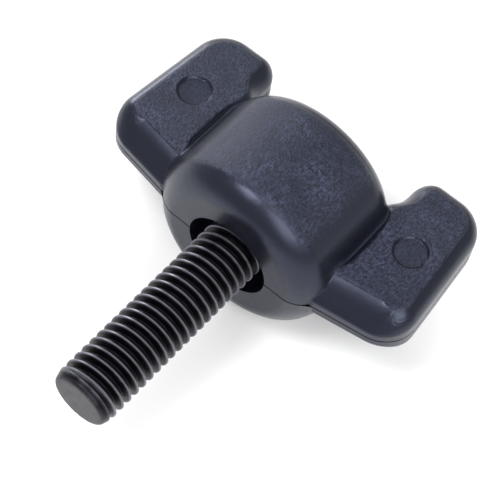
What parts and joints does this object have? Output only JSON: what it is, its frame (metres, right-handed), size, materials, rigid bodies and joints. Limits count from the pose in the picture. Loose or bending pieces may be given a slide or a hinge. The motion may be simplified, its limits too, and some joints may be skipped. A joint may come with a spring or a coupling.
{
  "type": "wing screw",
  "caption": "Wing screw: a black moulded head with a barrel hub and thick wings, split along its middle and closed round a dark steel hex bolt whose thread stands out of its face.",
  "frame": {"origin": "centre of the head's seating face, on the bolt's axis", "axes": "+X from wing to wing, -Y along the bolt towards its point, +Z square to the broad faces of the wings and to the joint between the two halves"},
  "size_m": [0.0448, 0.0494, 0.024],
  "materials": {
    "moulded_plastic": "black glass-filled nylon, fine-grained on the flat faces",
    "blackened_steel": "black oxide on rolled steel"
  },
  "bodies": {
    "root": {"upper_half": "moulded_plastic", "lower_half": "moulded_plastic", "hex_bolt": "blackened_steel"}
  },
  "joints": []
}
